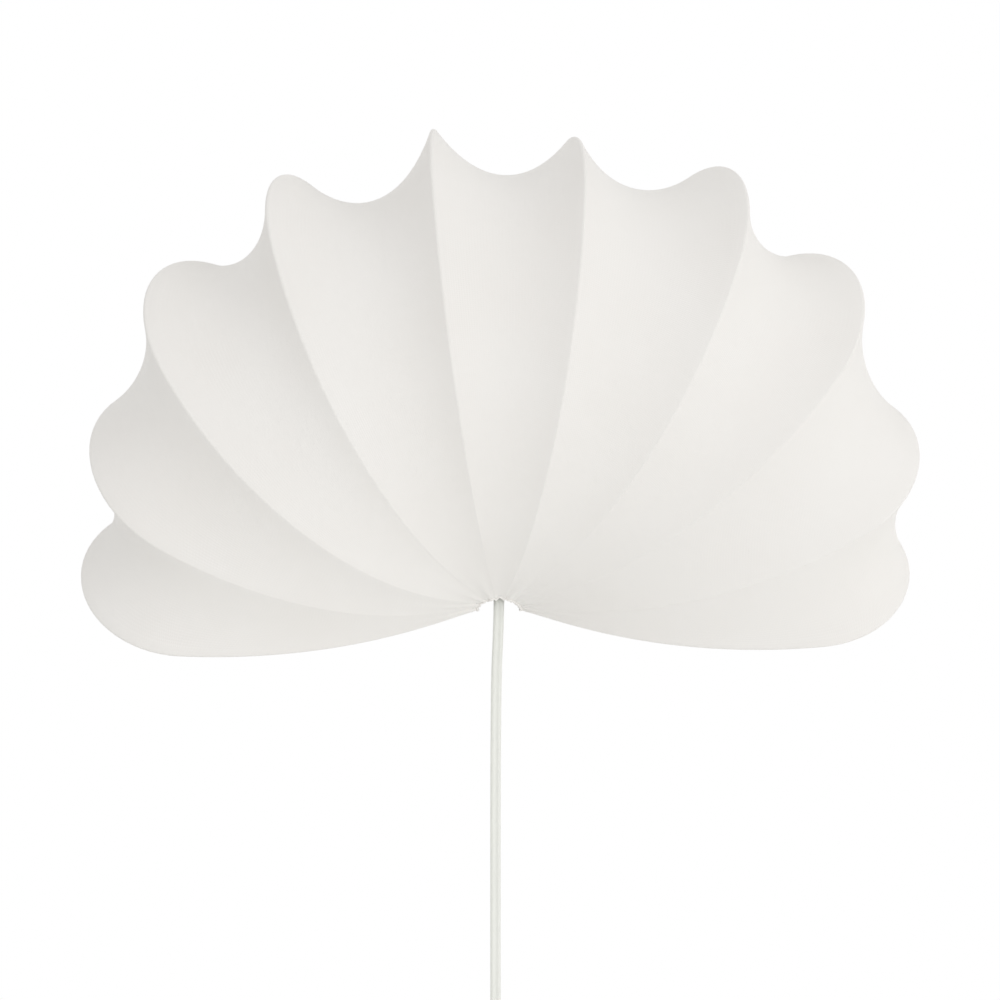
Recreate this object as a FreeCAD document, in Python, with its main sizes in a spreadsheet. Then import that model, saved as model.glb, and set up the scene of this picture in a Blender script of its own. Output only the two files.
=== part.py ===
"""Shell wall sconce: a fan of ten wire hoops under a stretched fabric cover, on a wall plate.

Millimetres. +Z up, +X to the right, the wall is the plane Y = 0 and the lamp stands at -Y.
The origin is on the wall, where the planes of all the hoops meet.
"""
import FreeCAD, Part
import math
import os
import re

import Sketcher

Vector = FreeCAD.Vector

SIZES = [
    # Fan frame: hoops lie in planes through one axis, which leaves the wall forwards and down.
    ("fan_tilt", 45),
    ("nose_distance", 50),
    ("ring_radius", 18),
    ("ring_wire", 3),
    ("ring_overrun", 4),
    ("nose_gap", 0.5),
    ("hoop_wire", 2.5),
    ("hoop_inner_end", 23),
    # The ten hoops from left to right, each bent by hand: angle from upright, reach from the
    # origin, radius of the rounded end, radius of the front bow.
    ("angle_1", -80), ("reach_1", 263), ("cap_1", 62), ("bow_1", 395),
    ("angle_2", -59), ("reach_2", 266), ("cap_2", 74), ("bow_2", 242),
    ("angle_3", -40.2), ("reach_3", 280), ("cap_3", 76), ("bow_3", 195),
    ("angle_4", -24), ("reach_4", 280), ("cap_4", 68), ("bow_4", 195),
    ("angle_5", -7.2), ("reach_5", 277), ("cap_5", 61), ("bow_5", 192),
    ("angle_6", 7.6), ("reach_6", 272), ("cap_6", 66), ("bow_6", 192),
    ("angle_7", 23.7), ("reach_7", 285), ("cap_7", 71), ("bow_7", 230),
    ("angle_8", 40), ("reach_8", 284), ("cap_8", 72), ("bow_8", 250),
    ("angle_9", 60.8), ("reach_9", 270), ("cap_9", 67), ("bow_9", 266),
    ("angle_10", 79), ("reach_10", 256), ("cap_10", 60), ("bow_10", 353),
    # Fabric cover.
    ("cover_thickness", 0.8),
    ("crest_gap", 3),
    ("wall_clearance", 0.3),
    # How far the panels from left to right draw in between the ends of their two hoops.
    ("sag_1", 19),
    ("sag_2", 15),
    ("sag_3", 28),
    ("sag_4", 33),
    ("sag_5", 28),
    ("sag_6", 27),
    ("sag_7", 26),
    ("sag_8", 15),
    ("sag_9", 12),
    ("cover_cap_drop", 5),
    ("cover_bow_share", 0.13),
    ("hem_return", 12),
    ("hem_overhang", 6),
    ("end_nose_gap", 4),
    ("end_rim_angle", 50),
    ("end_foot_start", 50),
    # Wall plate with two keyholes.
    ("plate_radius", 44),
    ("plate_thickness", 3.8),
    ("plate_rise", 20),
    ("keyhole_spacing", 36),
    ("keyhole_head", 9),
    ("keyhole_slot", 4.6),
    ("keyhole_drop", 14),
    ("keyhole_travel", 9),
    # Bracket strap and its two screws.
    ("strap_width", 18),
    ("strap_thickness", 2),
    ("strap_foot", 18),
    ("strap_tip", 11),
    ("strap_bend", 1.5),
    ("screw_diameter", 4),
    ("screw_head", 7.6),
    ("screw_head_height", 2.4),
    ("screw_low", 13),
    ("screw_spacing", 17),
    ("hole_clearance", 0.15),
    # Lamp axis.
    ("lamp_forward", 42),
    ("lamp_height", 4),
    ("lamp_tilt", 12),
    # Threaded nipple, nut and strain relief.
    ("nipple_diameter", 10),
    ("nipple_bore", 7),
    ("nipple_below", 9),
    ("nipple_above", 7),
    ("nut_flats", 14),
    ("nut_height", 3),
    ("relief_length", 21),
    ("relief_top", 13),
    ("relief_tip", 9),
    ("relief_bore", 6),
    ("relief_grip", 3.5),
    # Lampholder.
    ("holder_diameter", 38),
    ("holder_wall", 2),
    ("holder_neck", 24),
    ("holder_dome", 12),
    ("holder_skirt", 6),
    ("holder_height", 44),
    ("block_height", 14),
    ("block_rise", 6),
    ("part_gap", 0.3),
    ("screw_shell_wall", 0.5),
    ("screw_shell_height", 22),
    ("contact_height", 3),
    ("contact_diameter", 10),
    ("terminal_spacing", 18),
    ("terminal_diameter", 3),
    ("terminal_length", 8),
    ("terminal_head", 6),
    ("terminal_head_height", 2.4),
    ("lead_diameter", 2.4),
    ("lead_spacing", 3.2),
    # Bulb.
    ("bulb_cap_diameter", 26),
    ("bulb_cap_wall", 0.6),
    ("bulb_cap_height", 22),
    ("bulb_contact_diameter", 9),
    ("bulb_contact_height", 1.5),
    ("bulb_insulator_height", 3.2),
    ("bulb_insulator_neck", 12),
    ("bulb_neck", 26.8),
    ("bulb_housing_height", 42),
    ("bulb_housing_diameter", 56),
    ("bulb_wall", 1.5),
    ("globe_swell", 4),
    ("globe_wall", 1.2),
    ("led_board_gap", 0.45),
    ("led_board_thickness", 1.6),
    ("led_board_depth", 5),
    ("driver_diameter", 20),
    ("driver_height", 38),
    # Cord, flat twin lead 6.9 wide, drawn as a round tube of its width.
    ("cord_diameter", 6.9),
    ("cord_lead_out", 20),
    # In-line switch.
    ("switch_length", 58),
    ("switch_grip", 8),
    ("switch_width", 26),
    ("switch_base_depth", 8),
    ("switch_cover_depth", 9),
    ("switch_corner", 5),
    ("switch_wall", 2),
    ("switch_cavity", 36),
    ("window_length", 17.8),
    ("window_width", 10),
    ("rocker_length", 15),
    ("rocker_width", 9.2),
    ("rocker_depth", 9),
    ("rocker_behind_pin", 3),
    ("rocker_tilt", 8),
    ("rocker_pin_depth", 4),
    ("rocker_pin_diameter", 2.4),
    ("pin_clearance", 0.05),
    ("switch_screw_spacing", 47),
    ("switch_screw_side", 8.5),
    ("switch_screw_bite", 5),
    ("switch_screw_diameter", 2.6),
    ("switch_screw_head", 4.8),
    ("switch_screw_head_height", 1.8),
    ("switch_contact_length", 9),
    ("switch_contact_width", 5),
    ("switch_contact_spacing", 12),
    ("switch_contact_height", 3),
    # Coil of put-away cord and its tie.
    ("link_drop", 32),
    ("coil_outer", 50),
    ("coil_turns", 3),
    ("coil_pitch", 7.7),
    ("coil_layer", 7.8),
    ("coil_climb", 23.7),
    ("coil_restart", 31.2),
    ("coil_exit_radius", 80),
    ("tie_width", 8),
    ("tie_thickness", 1.2),
    ("tie_gap", 0.4),
    ("tie_inner", 23.4),
    ("tie_outer", 50.5),
    # Plug.
    ("plug_relief", 20),
    ("plug_length", 24),
    ("plug_width", 26),
    ("plug_depth", 16),
    ("plug_corner", 5),
    ("blade_spacing", 12.7),
    ("blade_width", 6.35),
    ("blade_thickness", 1.5),
    ("blade_length", 17),
    ("blade_root", 6),
    ("tail_length", 13),
]

doc = FreeCAD.newDocument("ShellWallSconce")
sheet = doc.addObject("Spreadsheet::Sheet", "Sizes")
size = dict(SIZES)
for row, (alias, number) in enumerate(SIZES, start=1):
    sheet.set(f"A{row}", alias)
    sheet.set(f"B{row}", str(number))
    sheet.setAlias(f"B{row}", alias)
doc.recompute()

subparts = []


def named(obj, name):
    """Makes obj a sub-part of the lamp: its label is the name of its file."""
    obj.Label = name
    subparts.append(obj)
    return obj


def words(text):
    """Turns plain size names in a formula into names that the sheet knows."""
    return re.sub(r"[a-z]\w*", lambda m: "Sizes." + m[0] if m[0] in size else m[0], text)


def place_text(x="0", y="0", z="0", axis="1; 0; 0", angle="0"):
    """A placement as a formula: a position, and a turn about an axis."""
    return (
        f"placement(vector({words(x)}; {words(y)}; {words(z)}); "
        f"rotation(vector({axis}); {words(angle)}))"
    )


def solid(kind, place="", **formulas):
    """A Part primitive whose sizes and place follow the sheet."""
    obj = doc.addObject("Part::" + kind, kind)
    for prop, text in formulas.items():
        obj.setExpression(prop, words(text))
    obj.setExpression("Placement", place or place_text())
    return obj


def cylinder(diameter, height, z="0", x="0", y="0"):
    return solid("Cylinder", place_text(x, y, z), Radius=f"( {diameter} ) / 2", Height=height)


def cone(low_diameter, high_diameter, height, z="0"):
    return solid(
        "Cone",
        place_text(z=z),
        Radius1=f"( {low_diameter} ) / 2",
        Radius2=f"( {high_diameter} ) / 2",
        Height=height,
    )


def block(length_x, length_y, length_z, x, y, z):
    return solid("Box", place_text(x, y, z), Length=length_x, Width=length_y, Height=length_z)


def fuse(*shapes):
    obj = doc.addObject("Part::MultiFuse", "Fuse")
    obj.Shapes = list(shapes)
    return obj


def cut(base, *tools):
    obj = doc.addObject("Part::Cut", "Cut")
    obj.Base = base
    obj.Tool = tools[0] if len(tools) == 1 else fuse(*tools)
    return obj


def placed(obj, place):
    obj.setExpression("Placement", place)
    return obj


def feature(name, shape):
    """A sub-part whose shape comes from the formulas below, in the lamp's own frame."""
    obj = doc.addObject("Part::Feature", "Feature")
    obj.Shape = shape
    return named(obj, name)


# --- Fan geometry -------------------------------------------------------------------------

tilt = math.radians(size["fan_tilt"])
FAN_AXIS = Vector(0, -math.cos(tilt), -math.sin(tilt))
NOSE_CENTRE = FAN_AXIS * size["nose_distance"]
WIRE_RADIUS = size["hoop_wire"] / 2
COVER_INNER = WIRE_RADIUS + size["crest_gap"]
COVER_OUTER = COVER_INNER + size["cover_thickness"]
BACK_GAP = size["wall_clearance"] + COVER_OUTER


class HoopPlane:
    """The plane of a hoop at an angle from upright: u runs along the wall, n away from it."""

    def __init__(self, degrees):
        self.degrees = degrees
        angle = math.radians(degrees)
        self.along = Vector(math.sin(angle), 0, math.cos(angle))
        across = FAN_AXIS - self.along * FAN_AXIS.dot(self.along)
        self.out = across.normalize()
        self.wall_n = BACK_GAP / -self.out.y
        self.spread = (self.along - FAN_AXIS * self.along.dot(FAN_AXIS)).normalize()
        rim = size["ring_radius"] + size["ring_wire"] / 2 + size["nose_gap"]
        nose = NOSE_CENTRE + self.spread * rim
        self.nose = (nose.dot(self.along), nose.dot(self.out))
        self.below = self.along.cross(self.out)

    def at(self, u, n):
        return self.along * u + self.out * n


class Profile:
    """A front bow from the nose, tangent to a rounded end that comes back to the wall."""

    def __init__(self, plane, reach, cap, bow):
        self.plane = plane
        self.reach = reach
        self.cap = cap
        self.bow = bow
        self.cap_centre = (reach - cap, plane.wall_n + cap)
        du = self.cap_centre[0] - plane.nose[0]
        dn = self.cap_centre[1] - plane.nose[1]
        gap = math.hypot(du, dn)
        along = (bow**2 - (bow - self.cap) ** 2 + gap**2) / (2 * gap)
        below = math.sqrt(bow**2 - along**2)
        self.bow_centre = (
            plane.nose[0] + (along * du + below * dn) / gap,
            plane.nose[1] + (along * dn - below * du) / gap,
        )
        self.nose_angle = self.bow_angle(plane.nose)
        self.join_angle = self.bow_angle(self.cap_centre)

    def bow_angle(self, point):
        return math.atan2(point[1] - self.bow_centre[1], point[0] - self.bow_centre[0]) % (2 * math.pi)

    def on_bow(self, angle, lift):
        radius = self.bow + lift
        u = self.bow_centre[0] + radius * math.cos(angle)
        return self.plane.at(u, self.bow_centre[1] + radius * math.sin(angle))

    def on_cap(self, angle, lift):
        radius = self.cap + lift
        u = self.cap_centre[0] + radius * math.cos(angle)
        return self.plane.at(u, self.cap_centre[1] + radius * math.sin(angle))

    def bow_arc(self, start, end, lift):
        middle = (start + end) / 2
        return Part.Arc(*(self.on_bow(a, lift) for a in (start, middle, end))).toShape()

    def cap_arc(self, start, end, lift):
        middle = (start + end) / 2
        return Part.Arc(*(self.on_cap(a, lift) for a in (start, middle, end))).toShape()


WALL_END = -math.pi / 2
hoop_profiles = [
    Profile(HoopPlane(size[f"angle_{n}"]), size[f"reach_{n}"], size[f"cap_{n}"], size[f"bow_{n}"])
    for n in range(1, 11)
]


def tube(path_edges, diameter):
    """A round rod along a smooth path of lines and arcs."""
    path = Part.Wire(path_edges)
    first = path_edges[0]
    start = first.valueAt(first.FirstParameter)
    circle = Part.Circle(start, first.tangentAt(first.FirstParameter), diameter / 2)
    return path.makePipeShell([Part.Wire(circle.toShape())], True, False)


def hoop(profile):
    """One bent wire: nose, front bow, rounded end, and straight back to the plate."""
    plane = profile.plane
    foot = plane.at(profile.cap_centre[0], plane.wall_n)
    inner_end = plane.at(size["hoop_inner_end"], plane.wall_n)
    edges = [
        profile.bow_arc(profile.nose_angle, profile.join_angle, 0),
        profile.cap_arc(profile.join_angle, WALL_END, 0),
        Part.makeLine(foot, inner_end),
    ]
    return tube(edges, size["hoop_wire"])


def cover_section(profile, cap_end=WALL_END, hem=True):
    """The fabric's cut edge in one plane: a thin strip outside the profile."""
    past_nose = size["hem_overhang"] if hem else -size["end_nose_gap"]
    start = profile.nose_angle + past_nose / profile.bow
    join = profile.join_angle
    outer = [profile.bow_arc(start, join, COVER_OUTER), profile.cap_arc(join, cap_end, COVER_OUTER)]
    inner = [profile.cap_arc(cap_end, join, COVER_INNER), profile.bow_arc(join, start, COVER_INNER)]
    outer_end = profile.on_cap(cap_end, COVER_OUTER)
    inner_end = profile.on_cap(cap_end, COVER_INNER)
    if hem:
        back = profile.plane.along * -size["hem_return"]
        outer.append(Part.makeLine(outer_end, outer_end + back))
        inner.insert(0, Part.makeLine(inner_end + back, inner_end))
        outer_end = outer_end + back
        inner_end = inner_end + back
    close_back = Part.makeLine(outer_end, inner_end)
    close_nose = Part.makeLine(profile.on_bow(start, COVER_INNER), profile.on_bow(start, COVER_OUTER))
    return Part.Wire(outer + [close_back] + inner + [close_nose])


def cover_panel(left, right, sag):
    """A fabric panel between two hoops, drawn in between them like a stretched skin."""
    angle = (left.plane.degrees + right.plane.degrees) / 2
    half_step = math.radians(right.plane.degrees - left.plane.degrees) / 2
    middle = Profile(
        HoopPlane(angle),
        (left.reach + right.reach) / 2 * math.cos(half_step) - sag,
        (left.cap + right.cap) / 2 - size["cover_cap_drop"],
        (left.bow + right.bow) / 2 * (1 - size["cover_bow_share"]),
    )
    return Part.makeLoft([cover_section(p) for p in (left, middle, right)], True, False)


def cover_end(profile, side):
    """The fabric that turns under the lowest hoop and closes its plane, like a shallow tray."""
    plane = profile.plane
    down = plane.below * side
    rim_end = -math.radians(size["end_rim_angle"])
    rim_face = Part.Face(cover_section(profile, rim_end, hem=False))
    rim = rim_face.extrude(down * COVER_OUTER)
    down_y = (down * COVER_OUTER).y
    foot_n = (size["wall_clearance"] + max(down_y, 0)) / -plane.out.y
    reach_end = math.asin((foot_n - profile.cap_centre[1]) / (profile.cap + COVER_OUTER))
    start = profile.nose_angle - size["end_nose_gap"] / profile.bow
    nose_corner = profile.on_bow(start, COVER_OUTER)
    foot_corner = profile.on_cap(reach_end, COVER_OUTER)
    inner_corner = plane.at(size["end_foot_start"], foot_n)
    outline = Part.Wire(
        [
            profile.bow_arc(start, profile.join_angle, COVER_OUTER),
            profile.cap_arc(profile.join_angle, reach_end, COVER_OUTER),
            Part.makeLine(foot_corner, inner_corner),
            Part.makeLine(inner_corner, nose_corner),
        ]
    )
    floor = Part.Face(outline)
    floor.translate(down * COVER_INNER)
    return floor.extrude(down * size["cover_thickness"]).fuse(rim).removeSplitter()


for number, profile in enumerate(hoop_profiles, start=1):
    feature(f"hoop_{number}", hoop(profile))
for number, (left, right) in enumerate(zip(hoop_profiles, hoop_profiles[1:]), start=1):
    feature(f"cover_panel_{number}", cover_panel(left, right, size[f"sag_{number}"]))
feature("cover_end_left", cover_end(hoop_profiles[0], -1))
feature("cover_end_right", cover_end(hoop_profiles[-1], 1))



def nose_ring():
    """The wire that all the hoops are welded to: a ring left open below, between the end hoops."""
    first = hoop_profiles[0].plane.degrees - size["ring_overrun"]
    last = hoop_profiles[-1].plane.degrees + size["ring_overrun"]
    spots = [HoopPlane(degrees).spread for degrees in (first, (first + last) / 2, last)]
    arc = Part.Arc(*(NOSE_CENTRE + spot * size["ring_radius"] for spot in spots))
    return tube([arc.toShape()], size["ring_wire"])


feature("nose_ring", nose_ring())

# --- Wall plate ---------------------------------------------------------------------------

FACE_OUT = "1; 0; 0"


def drilled(diameter, depth, x, z, y="0"):
    """A round bar or hole that leaves the wall towards the room."""
    return solid(
        "Cylinder", place_text(x, y, z, FACE_OUT, "90"), Radius=f"( {diameter} ) / 2", Height=depth
    )


def keyhole(x):
    head = drilled("keyhole_head", "plate_thickness", x, "0 - keyhole_drop")
    top = drilled("keyhole_slot", "plate_thickness", x, "keyhole_travel - keyhole_drop")
    neck = block(
        "keyhole_slot",
        "plate_thickness",
        "keyhole_travel",
        f"{x} - keyhole_slot / 2",
        "0 - plate_thickness",
        "0 - keyhole_drop",
    )
    return [head, top, neck]


plate_disc = drilled("2 * plate_radius", "plate_thickness", "0", "plate_rise")
plate_cuts = keyhole("keyhole_spacing / 2") + keyhole("0 - keyhole_spacing / 2")
SCREW_HEIGHTS = ["0 - screw_low", "screw_spacing - screw_low"]
for height in SCREW_HEIGHTS:
    plate_cuts.append(drilled("screw_diameter + 2 * hole_clearance", "plate_thickness", "0", height))
named(cut(plate_disc, *plate_cuts), "wall_plate")

# --- Bracket ------------------------------------------------------------------------------

lean = math.radians(size["lamp_tilt"])
LAMP_ORIGIN = Vector(0, -size["lamp_forward"], size["lamp_height"])
LAMP_AXIS = Vector(0, -math.sin(lean), math.cos(lean))
ARM_BACK = Vector(0, math.cos(lean), math.sin(lean))
LAMP_PLACE = place_text(y="0 - lamp_forward", z="lamp_height", angle="lamp_tilt")


def bracket():
    """A strap bent once: its foot lies on the plate, its arm carries the lampholder."""
    width = size["strap_width"]
    thick = size["strap_thickness"]
    back = -size["plate_thickness"]
    top_run = (size["lamp_forward"] + back) / math.cos(lean)
    corner = LAMP_ORIGIN + ARM_BACK * top_run
    low_run = (size["lamp_forward"] + back - thick) / math.cos(lean) - thick * math.tan(lean)
    tip = LAMP_ORIGIN - ARM_BACK * size["strap_tip"]
    under = LAMP_AXIS * -thick
    inner = LAMP_ORIGIN + ARM_BACK * low_run + under
    foot = -size["strap_foot"]
    points = [
        corner,
        Vector(0, back, foot),
        Vector(0, back - thick, foot),
        Vector(0, back - thick, inner.z),
        tip + under,
        tip,
    ]
    side = Vector(width / 2, 0, 0)
    outline = Part.makePolygon([p - side for p in points] + [points[0] - side])
    strap = Part.Face(outline).extrude(side * 2)
    bends = [
        edge
        for edge in strap.Edges
        if (edge.CenterOfMass - corner).Length < 0.01 or (edge.CenterOfMass - points[3]).Length < 0.01
    ]
    strap = strap.makeFillet(size["strap_bend"], bends)
    hole = size["screw_diameter"] / 2 + size["hole_clearance"]
    for height in (-size["screw_low"], size["screw_spacing"] - size["screw_low"]):
        strap = strap.cut(Part.makeCylinder(hole, 4 * thick, Vector(0, 0, height), Vector(0, -1, 0)))
    nipple_hole = size["nipple_diameter"] / 2 + size["hole_clearance"]
    start = LAMP_ORIGIN - LAMP_AXIS * (2 * thick)
    return strap.cut(Part.makeCylinder(nipple_hole, 4 * thick, start, LAMP_AXIS))


feature("holder_bracket", bracket())


def bracket_screw(height):
    """A pan-head screw: its shank ends flush with the back of the plate."""
    shank = drilled("screw_diameter", "plate_thickness + strap_thickness", "0", height)
    head = drilled("screw_head", "screw_head_height", "0", height, "0 - plate_thickness - strap_thickness")
    return fuse(shank, head)


screws = doc.addObject("Part::Compound", "Compound")
screws.Links = [bracket_screw(height) for height in SCREW_HEIGHTS]
named(screws, "bracket_screws")

# --- Nipple, nut, strain relief -----------------------------------------------------------

nipple = cut(
    cylinder("nipple_diameter", "nipple_below + nipple_above", "0 - nipple_below"),
    cylinder("nipple_bore", "nipple_below + nipple_above", "0 - nipple_below"),
)
named(placed(nipple, LAMP_PLACE), "nipple")

nut_body = solid(
    "Prism",
    place_text(z="0 - strap_thickness - nut_height"),
    Circumradius="nut_flats / 2 / cos(30deg)",
    Height="nut_height",
)
nut_bore = cylinder(
    "nipple_diameter + 2 * hole_clearance", "nut_height", "0 - strap_thickness - nut_height"
)
nut = cut(nut_body, nut_bore)
named(placed(nut, LAMP_PLACE), "nipple_nut")

RELIEF_END = "0 - nipple_below - relief_length"
relief_outer = fuse(
    cone("relief_tip", "relief_top", "relief_length", RELIEF_END),
    cylinder("relief_top", "relief_grip", "0 - nipple_below"),
)
relief = cut(
    relief_outer,
    cylinder("relief_bore", "relief_length", RELIEF_END),
    cylinder("nipple_diameter + 2 * hole_clearance", "relief_grip", "0 - nipple_below"),
)
named(placed(relief, LAMP_PLACE), "strain_relief")

# --- Lampholder ---------------------------------------------------------------------------

HOLDER_TOP = "holder_dome + holder_skirt"
dome_outer = fuse(
    cone("holder_neck", "holder_diameter", "holder_dome"),
    cylinder("holder_diameter", "holder_skirt", "holder_dome"),
)
dome_inner = fuse(
    cone(
        "holder_neck - 2 * holder_wall",
        "holder_diameter - 2 * holder_wall",
        "holder_dome - holder_wall",
        "holder_wall",
    ),
    cylinder("holder_diameter - 2 * holder_wall", "holder_skirt", "holder_dome"),
    cylinder("nipple_diameter + 2 * hole_clearance", "holder_wall"),
)
named(placed(cut(dome_outer, dome_inner), LAMP_PLACE), "holder_cap")

shell = cut(
    cylinder("holder_diameter", "holder_height", HOLDER_TOP),
    cylinder("holder_diameter - 2 * holder_wall", "holder_height", HOLDER_TOP),
)
named(placed(shell, LAMP_PLACE), "holder_shell")

BLOCK_LOW = f"{HOLDER_TOP} + block_rise"
BLOCK_TOP = f"{BLOCK_LOW} + block_height"
contact_block = cut(
    cylinder("holder_diameter - 2 * holder_wall - 2 * part_gap", "block_height", BLOCK_LOW),
    cylinder(
        "terminal_diameter + 2 * hole_clearance", "terminal_length", BLOCK_LOW, "terminal_spacing / 2"
    ),
    cylinder(
        "terminal_diameter + 2 * hole_clearance", "terminal_length", BLOCK_LOW, "0 - terminal_spacing / 2"
    ),
)
named(placed(contact_block, LAMP_PLACE), "contact_block")

SHELL_BORE = "bulb_cap_diameter + 2 * part_gap"
screw_shell = cut(
    cylinder(f"{SHELL_BORE} + 2 * screw_shell_wall", "screw_shell_height", BLOCK_TOP),
    cylinder(SHELL_BORE, "screw_shell_height", BLOCK_TOP),
)
named(placed(screw_shell, LAMP_PLACE), "screw_shell")


def on_lamp_axis(z):
    """Where a piece stands whose own frame starts at a height on the lamp's axis."""
    forward = f"0 - lamp_forward - ( {z} ) * sin(lamp_tilt * 1deg)"
    height = f"lamp_height + ( {z} ) * cos(lamp_tilt * 1deg)"
    return place_text(y=forward, z=height, angle="lamp_tilt")


contact = cone("contact_diameter", "contact_diameter / 2", "contact_height")
named(placed(contact, on_lamp_axis(BLOCK_TOP)), "centre_contact")


def terminal_screw(x):
    """A screw that enters the block from below and clamps one lead under its head."""
    shank = cylinder("terminal_diameter", "terminal_length", BLOCK_LOW, x)
    head = cylinder("terminal_head", "terminal_head_height", f"{BLOCK_LOW} - terminal_head_height", x)
    return fuse(shank, head)


terminals = doc.addObject("Part::Compound", "Compound")
terminals.Links = [terminal_screw("terminal_spacing / 2"), terminal_screw("0 - terminal_spacing / 2")]
named(placed(terminals, LAMP_PLACE), "terminal_screws")


def route_edges(points):
    """Straight runs joined by tangent arcs, each as large as its two runs allow."""
    runs = [(b - a).Length for a, b in zip(points, points[1:])]
    edges = []
    bends = []
    last = points[0]
    for index in range(1, len(points) - 1):
        before = (points[index] - points[index - 1]).normalize()
        after = (points[index + 1] - points[index]).normalize()
        turn = before.getAngle(after)
        trim = 0.45 * min(runs[index - 1], runs[index])
        bends.append(trim / math.tan(turn / 2))
        start = points[index] - before * trim
        end = points[index] + after * trim
        inward = (after - before).normalize()
        centre = points[index] + inward * (bends[-1] / math.cos(turn / 2))
        middle = centre - inward * bends[-1]
        edges.append(Part.makeLine(last, start))
        edges.append(Part.Arc(start, middle, end).toShape())
        last = end
    edges.append(Part.makeLine(last, points[-1]))
    return edges, bends


def cord_tube(name, points):
    """A free stretch of cord; prints its bends and how far its volume is from the true one."""
    edges, bends = route_edges(points)
    shape = tube(edges, size["cord_diameter"])
    length = sum(edge.Length for edge in edges)
    true_volume = math.pi * size["cord_diameter"] ** 2 / 4 * length
    print(name, "length", round(length, 1), "bend radii", [round(r) for r in bends])
    print(name, "volume over section times length", round(shape.Volume / true_volume, 4))
    feature(name, shape)
    return length


def lamp_point(x, z):
    return LAMP_ORIGIN + Vector(x, 0, 0) + LAMP_AXIS * z


def lead(side):
    """One insulated wire from the end of the cord, up through the nipple, to its terminal."""
    near = side * size["lead_spacing"] / 2
    far = side * size["terminal_spacing"] / 2
    low = -size["nipple_below"] - size["relief_length"]
    block_low = size["holder_dome"] + size["holder_skirt"] + size["block_rise"]
    top = block_low - size["terminal_head_height"] - size["part_gap"]
    spread_start = size["nipple_above"] + size["lead_spacing"]
    spread_end = (spread_start + top) / 2
    points = [
        lamp_point(near, low),
        lamp_point(near, spread_start),
        lamp_point(far, spread_end),
        lamp_point(far, top),
    ]
    edges, _ = route_edges(points)
    return tube(edges, size["lead_diameter"])


feature("lead_wires", Part.makeCompound([lead(1), lead(-1)]))

# --- Bulb ---------------------------------------------------------------------------------

CONTACT_LOW = f"{BLOCK_TOP} + contact_height + part_gap"
INSULATOR_LOW = f"{CONTACT_LOW} + bulb_contact_height"
CAP_LOW = f"{INSULATOR_LOW} + bulb_insulator_height / 2"
CAP_TOP = f"{CAP_LOW} + bulb_cap_height"
HOUSING_TOP = f"{CAP_TOP} + bulb_housing_height"
CAP_BORE = "bulb_cap_diameter - 2 * bulb_cap_wall"

eyelet = cylinder("bulb_contact_diameter", "bulb_contact_height")
named(placed(eyelet, on_lamp_axis(CONTACT_LOW)), "bulb_contact")

insulator = cone("bulb_insulator_neck", f"{CAP_BORE} - 2 * part_gap", "bulb_insulator_height")
named(placed(insulator, on_lamp_axis(INSULATOR_LOW)), "bulb_insulator")

bulb_cap = cut(
    cylinder("bulb_cap_diameter", "bulb_cap_height", CAP_LOW),
    cylinder(CAP_BORE, "bulb_cap_height", CAP_LOW),
)
named(placed(bulb_cap, LAMP_PLACE), "bulb_cap")

driver = cylinder("driver_diameter", "driver_height")
named(placed(driver, on_lamp_axis(f"{INSULATOR_LOW} + bulb_insulator_height")), "bulb_driver")

housing = cut(
    cone("bulb_neck", "bulb_housing_diameter", "bulb_housing_height", CAP_TOP),
    cone(
        "bulb_neck - 2 * bulb_wall",
        "bulb_housing_diameter - 2 * bulb_wall",
        "bulb_housing_height",
        CAP_TOP,
    ),
)
named(placed(housing, LAMP_PLACE), "bulb_housing")

BOARD_SHARE = "( bulb_housing_height - led_board_depth ) / bulb_housing_height"
BOARD_ROOM = f"bulb_neck + ( bulb_housing_diameter - bulb_neck ) * {BOARD_SHARE}"
board = cylinder(f"{BOARD_ROOM} - 2 * bulb_wall - 2 * led_board_gap", "led_board_thickness")
named(placed(board, on_lamp_axis(f"{HOUSING_TOP} - led_board_depth")), "led_board")

GLOBE = "bulb_housing_diameter + globe_swell"
GLOBE_RISE = "sqrt(globe_swell * ( 2 * bulb_housing_diameter + globe_swell )) / 2"
GLOBE_CENTRE = f"{HOUSING_TOP} + {GLOBE_RISE}"
globe_outer = solid("Sphere", place_text(z=GLOBE_CENTRE), Radius=f"( {GLOBE} ) / 2")
globe_inner = solid("Sphere", place_text(z=GLOBE_CENTRE), Radius=f"( {GLOBE} ) / 2 - globe_wall")
globe_below = cylinder(f"2 * ( {GLOBE} )", GLOBE, f"{HOUSING_TOP} - ( {GLOBE} )")
named(placed(cut(globe_outer, globe_inner, globe_below), LAMP_PLACE), "bulb_globe")

# --- Cord: free stretches, with every point chosen by hand ---------------------------------

relief_end = lamp_point(0, -size["nipple_below"] - size["relief_length"])
CORD_DROP = [
    relief_end,
    relief_end - LAMP_AXIS * size["cord_lead_out"],
    Vector(-2, -30, -86),
    Vector(-2, -30, -304),
]
drop_length = cord_tube("cord_drop", CORD_DROP)

# --- In-line switch: its own frame is at its middle, on the joint between its halves ---------

switch_middle = CORD_DROP[-1] + Vector(0, 0, size["switch_grip"] - size["switch_length"] / 2)
SWITCH_PLACE = place_text(str(switch_middle.x), str(switch_middle.y), str(switch_middle.z))


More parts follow.
